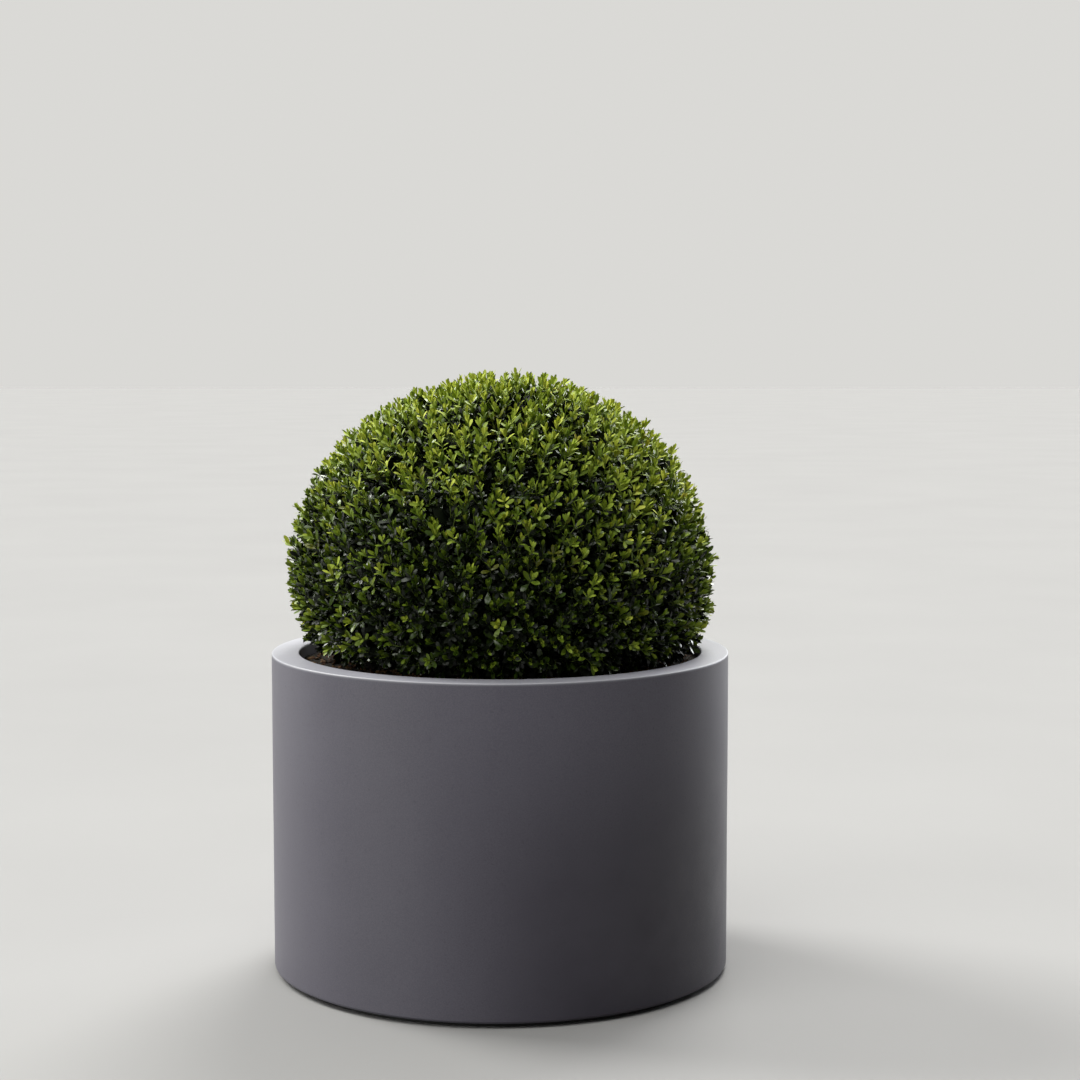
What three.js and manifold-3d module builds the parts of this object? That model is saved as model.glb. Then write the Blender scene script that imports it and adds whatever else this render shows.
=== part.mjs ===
import * as THREE from "three";
import { mergeVertices } from "three/addons/utils/BufferGeometryUtils.js";
import Module from "manifold-3d";

// A clipped box ball growing in a straight round planter. Millimetres, +Z up.
// The origin is in the middle of the planter's underside, and -Y is the front.

// Planter: a plain drum with a thick wall and a flat rim
const POT_DIAMETER = 450;
const POT_HEIGHT = 315;
const WALL = 27;
const FLOOR = 27;
const RIM_ROUND = 1.5;
const BASE_ROUND = 3;
const INNER_ROUND = 8;

// Recessed foot, which leaves a shadow gap under the drum
const FOOT_HEIGHT = 4.5;
const FOOT_SETBACK = 9;
const FOOT_ROUND = 0.8;

// Soil: it lies a little below the rim and rises to a level seat round the stem
const SOIL_DROP = 12;
const SOIL_MOUND = 3;
const SOIL_UNEVEN = 1.5;
const SOIL_GRAIN = 26;
const SEAT_RADIUS = 44;

// Stem: short, leaning a little, with buttressed root flare
const STEM_HEIGHT = 92;
const STEM_FOOT_RADIUS = 16;
const STEM_TOP_RADIUS = 11;
const STEM_LEAN = new THREE.Vector2(9, -5);
const FLARE = 15;
const FLARE_HEIGHT = 15;
const BUTTRESSES = 5;
const BUTTRESS_DEPTH = 0.34;

// Clipped ball: its middle stands above the rim, and its foot is cut level above the soil
const BALL_RADIUS = 211;
const BALL_CENTRE_OVER_RIM = 66.5;
const BALL_FOOT_GAP = 4;
const BALL_FOOT_ROUND = 30;

// The clipping is uneven: three broad swells that show from the front, smaller ones all round,
// and a ripple left by the shoots
const FRONT_SWELLS = [
  { azimuth: 0, elevation: 41, spread: 25, height: 3.6 },
  { azimuth: 180, elevation: 64, spread: 20, height: -3.2 },
  { azimuth: 184, elevation: 40, spread: 15, height: 2.2 },
];
const SMALL_SWELLS = 46;
const SMALL_SWELL_SPREAD = 17;
const SMALL_SWELL_HEIGHT = 2.6;
const RIPPLE_GRAIN = 21;
const RIPPLE_HEIGHT = 2.8;
const RIPPLE_FADE = 34;

// Resolution and clearance
const POT_SIDES = 72;
const SOIL_SIDES = 36;
const SOIL_RINGS = 8;
const STEM_SIDES = 25;
const STEM_RINGS = 12;
const BALL_SIDES = 64;
const BALL_RINGS = 37;
const ARC_STEPS = 3;
const GAP = 0.3;
const MERGE = 1e-4;

const potRadius = POT_DIAMETER / 2;
const innerRadius = potRadius - WALL;
const floorTop = FOOT_HEIGHT + FLOOR;
const soilTop = POT_HEIGHT - SOIL_DROP;
const seatTop = soilTop + SOIL_MOUND;
const ballCentre = POT_HEIGHT + BALL_CENTRE_OVER_RIM;
const ballFoot = seatTop + BALL_FOOT_GAP;

const wasm = await Module();
wasm.setup();

// A number from 0 to 1 that depends only on a whole-numbered point.
function lattice(i, j, k) {
  const s = Math.sin(i * 127.1 + j * 311.7 + k * 74.7) * 43758.5453;
  return s - Math.floor(s);
}

// Smooth noise from -1 to 1 at a point, with one swell for each unit of length.
function noise(x, y, z) {
  const [i, j, k] = [x, y, z].map(Math.floor);
  const [u, v, w] = [x - i, y - j, z - k].map((t) => t * t * (3 - 2 * t));
  let sum = 0;
  for (const [a, p] of [[0, 1 - u], [1, u]])
    for (const [b, q] of [[0, 1 - v], [1, v]])
      for (const [c, r] of [[0, 1 - w], [1, w]])
        sum += p * q * r * lattice(i + a, j + b, k + c);
  return 2 * sum - 1;
}

// The points of an outline whose square corners [radius, height, round] are rounded by arcs.
function rounded(corners) {
  const points = [];
  corners.forEach(([x, y, round = 0], i) => {
    const corner = new THREE.Vector2(x, y);
    if (!round) {
      points.push(corner);
      return;
    }
    const [before, after] = [corners[i - 1], corners[i + 1]].map(([a, b]) =>
      new THREE.Vector2(a, b).sub(corner).setLength(round),
    );
    const centre = corner.clone().add(before).add(after);
    for (let n = 0; n <= ARC_STEPS; n++) {
      const turn = (n / ARC_STEPS) * (Math.PI / 2);
      points.push(
        centre
          .clone()
          .addScaledVector(after, -Math.cos(turn))
          .addScaledVector(before, -Math.sin(turn)),
      );
    }
  });
  return points;
}

// An outline turned round the upright axis, as one closed surface.
function turned(points, sides) {
  const geometry = new THREE.LatheGeometry(points, sides).rotateX(Math.PI / 2);
  geometry.deleteAttribute("normal");
  geometry.deleteAttribute("uv");
  return mergeVertices(geometry, MERGE);
}

// A geometry whose every vertex is moved by a function.
function reshaped(geometry, move) {
  const position = geometry.getAttribute("position");
  const point = new THREE.Vector3();
  for (let i = 0; i < position.count; i++) {
    point.fromBufferAttribute(position, i);
    move(point);
    position.setXYZ(i, point.x, point.y, point.z);
  }
  return geometry;
}

function toSolid(geometry) {
  return new wasm.Manifold(
    new wasm.Mesh({
      numProp: 3,
      vertProperties: geometry.getAttribute("position").array,
      triVerts: new Uint32Array(geometry.index.array),
    }),
  );
}

function toGeometry(solid) {
  const mesh = solid.getMesh();
  return new THREE.BufferGeometry()
    .setAttribute("position", new THREE.BufferAttribute(mesh.vertProperties, 3))
    .setIndex(new THREE.BufferAttribute(mesh.triVerts, 1));
}

function planterGeometry() {
  const outline = rounded([
    [0, FOOT_HEIGHT],
    [potRadius, FOOT_HEIGHT, BASE_ROUND],
    [potRadius, POT_HEIGHT, RIM_ROUND],
    [innerRadius, POT_HEIGHT, RIM_ROUND],
    [innerRadius, floorTop, INNER_ROUND],
    [0, floorTop],
  ]);
  return turned(outline, POT_SIDES);
}

function footGeometry() {
  const radius = potRadius - FOOT_SETBACK;
  const outline = rounded([
    [0, 0],
    [radius, 0, FOOT_ROUND],
    [radius, FOOT_HEIGHT - GAP],
    [0, FOOT_HEIGHT - GAP],
  ]);
  return turned(outline, POT_SIDES);
}

// The soil fills the planter. Its top is a plain mound with a level seat, roughened beyond it.
function soilGeometry() {
  const radius = innerRadius - GAP;
  const outline = rounded([
    [0, floorTop + GAP],
    [radius, floorTop + GAP, INNER_ROUND],
    [radius, soilTop],
  ]);
  for (let n = 1; n <= SOIL_RINGS; n++) {
    const across = THREE.MathUtils.lerp(radius, SEAT_RADIUS, n / SOIL_RINGS);
    outline.push(new THREE.Vector2(across, soilTop));
  }
  outline.push(new THREE.Vector2(0, soilTop));
  return reshaped(turned(outline, SOIL_SIDES), (point) => {
    if (point.z < soilTop - GAP) return;
    const away = THREE.MathUtils.smoothstep(
      Math.hypot(point.x, point.y),
      SEAT_RADIUS + GAP,
      radius,
    );
    const rough = noise(point.x / SOIL_GRAIN, point.y / SOIL_GRAIN, 0);
    point.z += SOIL_MOUND * (1 - away) + SOIL_UNEVEN * rough * Math.sqrt(away);
  });
}

// The stem from its flat cut on the soil up to its fork. It can be grown by a clearance, and its
// foot lengthened downwards, to cut the pocket that it stands in.
function stemGeometry(clearance = 0, below = 0) {
  const foot = seatTop + GAP;
  const top = seatTop + STEM_HEIGHT;
  const outline = [new THREE.Vector2(0, foot - below), new THREE.Vector2(1, foot - below)];
  for (let n = below ? 0 : 1; n <= STEM_RINGS; n++) {
    const height = foot + (top - foot) * (n / STEM_RINGS);
    outline.push(new THREE.Vector2(1, height));
  }
  if (clearance) outline.push(new THREE.Vector2(1, top + clearance));
  outline.push(new THREE.Vector2(0, top + clearance));
  return reshaped(turned(outline, STEM_SIDES), (point) => {
    const up = Math.max(point.z - seatTop, 0);
    const part = up / STEM_HEIGHT;
    const flare = FLARE * Math.exp(-up / FLARE_HEIGHT);
    const angle = Math.atan2(point.y, point.x);
    const buttress = 1 + BUTTRESS_DEPTH * Math.cos(BUTTRESSES * angle);
    const plain = THREE.MathUtils.lerp(STEM_FOOT_RADIUS, STEM_TOP_RADIUS, part);
    const radius = plain + flare * buttress + clearance;
    point.x = point.x * radius + STEM_LEAN.x * part * part;
    point.y = point.y * radius + STEM_LEAN.y * part * part;
  });
}

// The unit vector that points to an azimuth, anticlockwise from +X, and an elevation.
function heading(azimuth, elevation) {
  const [a, e] = [azimuth, elevation].map(THREE.MathUtils.degToRad);
  return new THREE.Vector3(
    Math.cos(e) * Math.cos(a),
    Math.cos(e) * Math.sin(a),
    Math.sin(e),
  );
}

// All the swells of the clipped ball: the broad ones, then small ones on a spiral over the sphere.
function swells() {
  const golden = 180 * (3 - Math.sqrt(5));
  const list = FRONT_SWELLS.map((swell) => ({ ...swell }));
  for (let n = 0; n < SMALL_SWELLS; n++) {
    const rise = 1 - (2 * (n + 0.5)) / SMALL_SWELLS;
    list.push({
      azimuth: n * golden,
      elevation: THREE.MathUtils.radToDeg(Math.asin(rise)),
      spread: SMALL_SWELL_SPREAD,
      height: SMALL_SWELL_HEIGHT * (2 * lattice(n, 3, 5) - 1),
    });
  }
  return list.map((swell) => ({
    way: heading(swell.azimuth, swell.elevation),
    spread: THREE.MathUtils.degToRad(swell.spread),
    height: swell.height,
  }));
}

// The ball's outline: level underneath, a rounded lower edge, then the sphere up to the top.
function ballOutline() {
  const edgeHeight = ballFoot + BALL_FOOT_ROUND;
  const reach = BALL_RADIUS - BALL_FOOT_ROUND;
  const sink = ballCentre - edgeHeight;
  const edgeRadius = Math.sqrt(reach * reach - sink * sink);
  const meeting = -Math.atan2(sink, edgeRadius);
  const path = new THREE.Path();
  path.moveTo(0, ballFoot);
  path.lineTo(edgeRadius, ballFoot);
  path.absarc(edgeRadius, edgeHeight, BALL_FOOT_ROUND, -Math.PI / 2, meeting, false);
  path.absarc(0, ballCentre, BALL_RADIUS, meeting, Math.PI / 2, false);
  const points = path.getSpacedPoints(BALL_RINGS);
  points[BALL_RINGS].x = 0;
  return points;
}

function ballGeometry() {
  const all = swells();
  const centre = new THREE.Vector3(0, 0, ballCentre);
  const way = new THREE.Vector3();
  const uneven = reshaped(turned(ballOutline(), BALL_SIDES), (point) => {
    if (point.z <= ballFoot + GAP) return;
    way.copy(point).sub(centre).normalize();
    let grow = 0;
    for (const swell of all)
      grow += swell.height * Math.exp(-((way.angleTo(swell.way) / swell.spread) ** 2));
    const [x, y, z] = point.toArray().map((value) => value / RIPPLE_GRAIN);
    grow += RIPPLE_HEIGHT * noise(x, y, z);
    const clear = THREE.MathUtils.smoothstep(point.z, POT_HEIGHT, POT_HEIGHT + RIPPLE_FADE);
    point.addScaledVector(way, grow * clear);
  });
  const pocket = toSolid(stemGeometry(GAP, 2 * BALL_FOOT_GAP));
  return toGeometry(toSolid(uneven).subtract(pocket));
}

const FINISHES = {
  planter: { color: "#67666c", roughness: 0.72, metalness: 0 },
  foot: { color: "#141416", roughness: 0.85, metalness: 0 },
  soil: { color: "#2b1f17", roughness: 1, metalness: 0 },
  bark: { color: "#7d7058", roughness: 0.9, metalness: 0 },
  leaves: { color: "#3f5c1a", roughness: 0.45, metalness: 0 },
};

// One named mesh with its own finish.
function piece(name, geometry, finish) {
  geometry.computeVertexNormals();
  const mesh = new THREE.Mesh(geometry, new THREE.MeshStandardMaterial(FINISHES[finish]));
  mesh.name = name;
  return mesh;
}

const pot = new THREE.Group();
pot.add(
  piece("planter", planterGeometry(), "planter"),
  piece("planter_foot", footGeometry(), "foot"),
  piece("soil", soilGeometry(), "soil"),
);

const plant = new THREE.Group();
plant.add(
  piece("main_stem", stemGeometry(), "bark"),
  piece("clipped_ball", ballGeometry(), "leaves"),
);

const pottedBall = new THREE.Group();
pottedBall.add(pot, plant);

export default pottedBall;
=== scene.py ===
"""A clipped box ball in a straight round planter: its looks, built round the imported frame.

Every length is in metres unless its name says otherwise. +Z is up and -Y is the front.
"""

import sys

import logging
import math
from dataclasses import dataclass, field
from enum import Enum
from typing import Optional, Sequence, Union

import bmesh
import bpy
import numpy as np
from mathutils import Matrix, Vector, noise
from mathutils.bvhtree import BVHTree


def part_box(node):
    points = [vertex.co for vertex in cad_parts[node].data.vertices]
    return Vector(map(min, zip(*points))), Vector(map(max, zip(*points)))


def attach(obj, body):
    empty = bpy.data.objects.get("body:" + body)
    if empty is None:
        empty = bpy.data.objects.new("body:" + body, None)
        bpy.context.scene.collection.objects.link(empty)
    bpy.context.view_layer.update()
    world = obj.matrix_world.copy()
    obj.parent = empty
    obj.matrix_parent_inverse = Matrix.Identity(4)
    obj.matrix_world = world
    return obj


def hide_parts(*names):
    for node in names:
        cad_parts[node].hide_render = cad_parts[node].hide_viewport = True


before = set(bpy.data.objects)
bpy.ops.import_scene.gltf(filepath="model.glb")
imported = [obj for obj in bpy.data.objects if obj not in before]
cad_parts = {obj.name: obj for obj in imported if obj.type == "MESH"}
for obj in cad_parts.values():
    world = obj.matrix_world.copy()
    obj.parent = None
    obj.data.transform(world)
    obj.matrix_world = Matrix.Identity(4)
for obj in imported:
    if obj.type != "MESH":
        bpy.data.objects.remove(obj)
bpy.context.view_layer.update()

LOG = logging.getLogger("box_ball")
MM = 0.001
SEED = 4021
MOST_TRIANGLES = 190_000
UP = np.array([0.0, 0.0, 1.0])

Number = Union[int, float]
Operand = Union["Reading", Number]


def linear(tone: str) -> tuple[float, float, float, float]:
    """Turns a colour written as on screen into the linear one that a shader takes.

    Args:
        tone: Six hexadecimal digits, red, green and blue.

    Returns:
        Linear red, green, blue and a full alpha.
    """
    parts = [int(tone[i : i + 2], 16) / 255 for i in (0, 2, 4)]
    curve = [((p + 0.055) / 1.055) ** 2.4 if p > 0.04045 else p / 12.92 for p in parts]
    return (curve[0], curve[1], curve[2], 1.0)


def smooth_step(value: np.ndarray, low: float, high: float) -> np.ndarray:
    """Rises smoothly from 0 at low to 1 at high."""
    t = np.clip((value - low) / (high - low), 0, 1)
    return t * t * (3 - 2 * t)


def ramp(start_and_rise: tuple[float, float], part: np.ndarray) -> np.ndarray:
    """A start, plus as much of a rise as part says, from 0 to 1."""
    start, rise = start_and_rise
    return start + rise * part


def unit(vectors: np.ndarray) -> np.ndarray:
    """Scales each vector of an array to length 1."""
    return vectors / np.linalg.norm(vectors, axis=-1, keepdims=True).clip(1e-9)


class Reading:
    """A value inside a material, on which sums can be written as on a number."""

    def __init__(self, board: "Board", socket: bpy.types.NodeSocket) -> None:
        """Keeps the socket that gives the value, and the board that it is on."""
        self.board = board
        self.socket = socket

    def maths(self, operation: str, *operands: Operand) -> "Reading":
        """Adds a Math node.

        Args:
            operation: The Math node's operation.
            operands: Its values, in order.

        Returns:
            The node's result.
        """
        settings = {"operation": operation}
        return self.board.read("ShaderNodeMath", settings, dict(enumerate(operands)))

    def __add__(self, other: Operand) -> "Reading":
        """This value plus another."""
        return self.maths("ADD", self, other)

    __radd__ = __add__

    def __sub__(self, other: Operand) -> "Reading":
        """This value less another."""
        return self.maths("SUBTRACT", self, other)

    def __rsub__(self, other: Operand) -> "Reading":
        """Another value less this one."""
        return self.maths("SUBTRACT", other, self)

    def __mul__(self, other: Operand) -> "Reading":
        """This value times another."""
        return self.maths("MULTIPLY", self, other)

    __rmul__ = __mul__

    def __pow__(self, other: Operand) -> "Reading":
        """This value raised to a power."""
        return self.maths("POWER", self, other)

    def between(self, low: float, high: float) -> "Reading":
        """Rises smoothly from 0 where this value is low to 1 where it is high.

        Args:
            low: Where it starts.
            high: Where it is full.

        Returns:
            The value from 0 to 1.
        """
        settings = {"interpolation_type": "SMOOTHSTEP"}
        ends = {"Value": self, "From Min": low, "From Max": high}
        return self.board.read("ShaderNodeMapRange", settings, ends)


class Board:
    """The nodes of one material, round a single surface shader."""

    def __init__(self, name: str) -> None:
        """Makes an empty material with a surface shader on it."""
        self.material = bpy.data.materials.new(name)
        self.material.use_nodes = True
        self.tree = self.material.node_tree
        self.tree.nodes.clear()
        self.skin = self.node("ShaderNodeBsdfPrincipled")
        output = self.node("ShaderNodeOutputMaterial")
        self.tree.links.new(self.skin.outputs["BSDF"], output.inputs["Surface"])

    def node(
        self,
        kind: str,
        settings: Optional[dict[str, object]] = None,
        inputs: Optional[dict[Union[str, int], object]] = None,
    ) -> bpy.types.Node:
        """Adds a node.

        Args:
            kind: The node's type.
            settings: Its properties, which are set first.
            inputs: A value or a reading for each socket that is set, by name or number.

        Returns:
            The node.
        """
        made = self.tree.nodes.new(kind)
        for key, value in (settings or {}).items():
            setattr(made, key, value)
        for key, value in (inputs or {}).items():
            self.feed(made.inputs[key], value)
        return made

    def feed(self, socket: bpy.types.NodeSocket, value: object) -> None:
        """Links a reading to a socket, or sets its value.

        Args:
            socket: The input.
            value: The reading, or a plain value.
        """
        if isinstance(value, Reading):
            self.tree.links.new(value.socket, socket)
        else:
            socket.default_value = value

    def read(
        self,
        kind: str,
        settings: Optional[dict[str, object]] = None,
        inputs: Optional[dict[Union[str, int], object]] = None,
        output: Union[str, int] = 0,
    ) -> Reading:
        """Adds a node and gives the reading of one of its outputs."""
        return Reading(self, self.node(kind, settings, inputs).outputs[output])

    def place(self, stretch: Sequence[float] = (1, 1, 1)) -> Reading:
        """The place on the object, in metres, stretched along each axis."""
        spot = self.read("ShaderNodeTexCoord", output="Object")
        return self.read("ShaderNodeMapping", None, {"Vector": spot, "Scale": tuple(stretch)})

    def clouds(
        self, place: Reading, grain: float, detail: float = 3, roughness: float = 0.5
    ) -> Reading:
        """Soft noise from 0 to 1.

        Args:
            place: Where it is read.
            grain: The size of one swell.
            detail: How many finer layers it has.
            roughness: How strong those are.

        Returns:
            The noise.
        """
        values = {"Vector": place, "Scale": 1 / grain, "Detail": detail, "Roughness": roughness}
        return self.read("ShaderNodeTexNoise", None, values)

    def blend(self, part: Operand, first: object, second: object) -> Reading:
        """Mixes two colours, giving the second where part is 1."""
        settings = {"data_type": "RGBA", "clamp_factor": True}
        return self.read("ShaderNodeMix", settings, {0: part, 6: first, 7: second}, output=2)

    def relief(self, height: Reading, depth: float, strength: float = 1.0) -> Reading:
        """A bumped normal for a height from 0 to 1 that stands for a depth."""
        values = {"Height": height, "Distance": depth, "Strength": strength}
        return self.read("ShaderNodeBump", None, values)

    def wear(self, **looks: object) -> bpy.types.Material:
        """Feeds the surface shader and gives the material.

        Args:
            looks: The shader's sockets by name, with an underscore for each space.

        Returns:
            The finished material.
        """
        for name, value in looks.items():
            self.feed(self.skin.inputs[name.replace("_", " ")], value)
        return self.material


@dataclass(frozen=True)
class CastCement:
    """Matt, through-coloured fibre cement, smooth from the mould.

    The rim is painted paler than the wall, as painted light on its top, and palest along its outer
    edge, as a painted highlight. The wall is darkened downwards as painted shade, most at the
    front
    right: none above the higher of its two painted-shade heights, and in full below the lower. The
    inner wall is darker below the rim.
    """

    name: str = "cast_cement"
    tone: str = "5a5665"
    pale: str = "625f6b"
    deep: str = "524f5b"
    evenness: float = 0.6
    cloud_size: float = 70 * MM
    streak_size: float = 16 * MM
    pit_size: float = 3.2 * MM
    speck_size: float = 1.1 * MM
    relief_depth: float = 0.08 * MM
    # Painted shade on the lower wall, most at the front right: its tone, where it starts and where
    # it is full.
    painted_shade: str = "36323e"
    painted_shade_height: float = 315 * MM
    painted_shade_full: float = 100 * MM
    painted_shade_everywhere: float = 0.12
    painted_shade_front_right: float = 0.85
    front_right: tuple[float, float] = (0.12, 0.33)
    # Painted light: the rim's top is paler than the wall, for the light that falls on it from
    # above.
    rim_painted_light: str = "9c9aa7"
    rim_painted_light_share: float = 0.9
    rim_top: float = 0.315
    rim_radius: float = 0.225
    # A painted highlight along the rim's outer edge; the same tone also serves the cement's fine
    # specks.
    speck_and_highlight_tone: str = "a9a8b3"
    highlight_share: float = 0.7
    highlight_width: float = 3.2 * MM
    # The inner wall below the rim is darker.
    inner_wall_tone: str = "1d1917"
    inner_wall_share: float = 0.85
    wall: float = 27 * MM

    def material(self) -> bpy.types.Material:
        """Builds the finish: clouded tone, speckle, painted light and shade on the rim and wall,
        cast grain.

        Returns:
            The material.
        """
        board = Board(self.name)
        spot = board.place()
        cloud = board.clouds(spot, self.cloud_size, 4, 0.55).between(0.3, 0.7)
        fine = board.clouds(spot, self.speck_size, 2, 0.6)
        speck = fine.between(0.32, 0.68)
        pits = board.clouds(spot, self.pit_size, 1, 0.4).between(0.68, 0.76)
        tone = self._cast(board, cloud, speck, pits)
        # Painted light on the rim and its edge, painted shade on the lower wall.
        tone = self._painted_light_and_shade(board, spot, cloud, tone)
        height = fine * 0.5 + cloud * 0.5 - pits * 0.6
        return board.wear(
            Base_Color=tone,
            Roughness=speck * 0.08 + cloud * 0.08 + 0.42,
            Normal=board.relief(height, self.relief_depth, 0.7),
        )

    def _cast(self, board: Board, cloud: Reading, speck: Reading, pits: Reading) -> Reading:
        """Mixes the tone of the cast body.

        Args:
            board: The material's board.
            cloud: Broad soft patches.
            speck: Fine specks.
            pits: Small pits.

        Returns:
            The tone.
        """
        upright = board.place((1, 1, 0.16))
        streak = board.clouds(upright, self.streak_size, 3, 0.6).between(0.3, 0.75)
        tone = board.blend(cloud * 0.75 + streak * 0.25, linear(self.deep), linear(self.pale))
        tone = board.blend(self.evenness, tone, linear(self.tone))
        tone = board.blend(speck * 0.09, tone, linear(self.speck_and_highlight_tone))
        return board.blend(pits * 0.5, tone, linear(self.deep))

    def _painted_light_and_shade(self, board: Board, spot: Reading, cloud: Reading, tone: Reading) -> Reading:
        """Paints shade low on the wall and light on the rim and its edge, and darkens the inner
        wall.

        Args:
            board: The material's board.
            spot: The place on the planter.
            cloud: Broad soft patches.
            tone: The tone of the cast body.

        Returns:
            The tone, with its painted light and shade.
        """
        axes = board.node("ShaderNodeSeparateXYZ", None, {0: spot})
        x, y, z = (Reading(board, axes.outputs[i]) for i in range(3))
        radius = (x * x + y * y) ** 0.5
        under = z * -1
        # Painted shade: the wall darkens towards the foot, most at the front right.
        shaded = (x - y).between(*self.front_right)
        painted_shade = under.between(-self.painted_shade_height, -self.painted_shade_full) * (cloud * 0.12 + 0.94)
        painted_shade = painted_shade * (shaded * self.painted_shade_front_right + self.painted_shade_everywhere)
        tone = board.blend(painted_shade, tone, linear(self.painted_shade))
        # Painted light on the rim's top face.
        rim = z.between(self.rim_top - 0.9 * MM, self.rim_top - 0.2 * MM)
        tone = board.blend(rim * self.rim_painted_light_share, tone, linear(self.rim_painted_light))
        # Painted highlight along the rim's rounded outer edge.
        upper = z.between(self.rim_top - self.highlight_width, self.rim_top)
        outer = radius.between(self.rim_radius - self.highlight_width, self.rim_radius)
        tone = board.blend(upper * outer * self.highlight_share, tone, linear(self.speck_and_highlight_tone))
        # Darkens the inner wall below the rim.
        bore = self.wall - self.rim_radius
        inside = (radius * -1).between(bore + 0.5 * MM, bore + 1.5 * MM)
        below = under.between(2 * MM - self.rim_top, 5 * MM - self.rim_top)
        return board.blend(inside * below * self.inner_wall_share, tone, linear(self.inner_wall_tone))


@dataclass(frozen=True)
class MouldedRubber:
    """Dark rubber of the recessed foot."""

    name: str = "foot_rubber"
    tone: str = "161618"
    dusty: str = "2b2a2a"

    def material(self) -> bpy.types.Material:
        """Builds the finish: dusty patches over a grained dark rubber.

        Returns:
            The material.
        """
        board = Board(self.name)
        spot = board.place()
        dust = board.clouds(spot, 24 * MM, 4, 0.6).between(0.45, 0.75)
        grain = board.clouds(spot, 1.4 * MM, 2, 0.5)
        return board.wear(
            Base_Color=board.blend(dust * 0.7, linear(self.tone), linear(self.dusty)),
            Roughness=grain * 0.2 + 0.7,
            Normal=board.relief(grain, 0.1 * MM, 0.6),
        )


@dataclass(frozen=True)
class Compost:
    """Moist potting compost, or one kind of the bits in it."""

    name: str
    dark: str
    light: str
    grain: float = 3.0 * MM
    roughness: float = 0.9

    def material(self) -> bpy.types.Material:
        """Builds the finish: two mixed tones with a crumbly relief.

        Returns:
            The material.
        """
        board = Board(self.name)
        spot = board.place()
        patch = board.clouds(spot, 4 * self.grain, 5, 0.65)
        crumb = board.clouds(spot, self.grain, 4, 0.7)
        tone = board.blend(
            (patch * 0.5 + crumb * 0.5).between(0.38, 0.66), linear(self.dark), linear(self.light)
        )
        return board.wear(
            Base_Color=tone,
            Roughness=crumb * 0.15 + (self.roughness - 0.1),
            Normal=board.relief(crumb, 0.5 * MM, 0.8),
            Specular_IOR_Level=0.3,
        )


@dataclass(frozen=True)
class Bark:
    """Bark of the stem, or of the thinner wood, with long fissures."""

    name: str
    furrow: str = "3f3527"
    ridge: str = "8d8165"
    moss: str = "5d6243"
    grain: float = 2.6 * MM

    def material(self) -> bpy.types.Material:
        """Builds the finish: fissured ridges, with a greenish film in places.

        Returns:
            The material.
        """
        board = Board(self.name)
        along = board.place((1, 1, 0.22))
        ridges = board.clouds(along, self.grain, 5, 0.65)
        film = board.clouds(board.place(), 9 * self.grain, 3, 0.5).between(0.5, 0.72)
        tone = board.blend(ridges.between(0.35, 0.65), linear(self.furrow), linear(self.ridge))
        return board.wear(
            Base_Color=board.blend(film * 0.45, tone, linear(self.moss)),
            Roughness=0.95 - ridges * 0.2,
            Normal=board.relief(ridges, 0.8 * MM, 0.9),
        )


@dataclass(frozen=True)
class LeafSkin:
    """The plain base colour and gloss of all leaves of one shade."""

    name: str
    tone: str
    roughness: float
    gloss: float

    def material(self) -> bpy.types.Material:
        """Builds the finish."""
        return Board(self.name).wear(
            Base_Color=linear(self.tone), Roughness=self.roughness, Specular_IOR_Level=self.gloss
        )


@dataclass(frozen=True)
class StudioFloor:
    """Plain pale floor of the studio."""

    name: str = "studio_floor"
    tone: str = "969497"
    worn: str = "908e91"

    def material(self) -> bpy.types.Material:
        """Builds the finish, with a faint unevenness.

        Returns:
            The material.
        """
        board = Board(self.name)
        drift = board.clouds(board.place(), 0.5, 3, 0.5)
        return board.wear(
            Base_Color=board.blend(drift, linear(self.tone), linear(self.worn)),
            Roughness=1.0,
            Specular_IOR_Level=0.0,
        )


class Slot(Enum):
    """The record's material slots."""

    PLANTER = "planter_shell"
    FOOT = "foot"
    SOIL = "soil"
    BARK = "bark"
    LEAVES = "leaves"


class Shade(Enum):
    """Leaf shades, from the youngest tips to old leaves, then painted shade: tone, roughness,
    gloss.
    """

    AMBER_TIP = ("b2ac46", 0.55, 0.15)
    GOLD_TIP = ("b6bb48", 0.56, 0.15)
    LIME_TIP = ("b0b948", 0.56, 0.15)
    LEAF_TIP = ("9dac40", 0.54, 0.16)
    FRESH = ("879836", 0.42, 0.22)
    SPRING = ("6b7f25", 0.34, 0.28)
    MID = ("54681a", 0.26, 0.33)
    OLIVE = ("60641e", 0.26, 0.33)
    DEEP = ("344610", 0.23, 0.4)
    BLUE = ("3c4e22", 0.23, 0.42)
    # The two darkest shades are painted shade: near-black leaves deep in the crown, low down and
    # near the soil.
    DARK = ("141e08", 0.23, 0.38)
    INNER = ("0c1207", 0.45, 0.22)

    @property
    def finish(self) -> LeafSkin:
        """The finish of the leaves of this shade."""
        tone, roughness, gloss = self.value
        return LeafSkin(f"leaf_{self.name.lower()}", tone, roughness, gloss)


SHADES = list(Shade)
PLACE_OF = {shade: place for place, shade in enumerate(SHADES)}
TIP_SHARES = {
    Shade.LIME_TIP: 0.44,
    Shade.LEAF_TIP: 0.465,
    Shade.GOLD_TIP: 0.085,
    Shade.AMBER_TIP: 0.01,
}
OLD_SHARES = {Shade.MID: 0.42, Shade.OLIVE: 0.16, Shade.DEEP: 0.26, Shade.BLUE: 0.16}
# The dark shades, dealt as painted shade where shade falls in the crown.
SHADOW_SHARES = {Shade.DEEP: 0.25, Shade.DARK: 0.45, Shade.INNER: 0.3}


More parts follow.
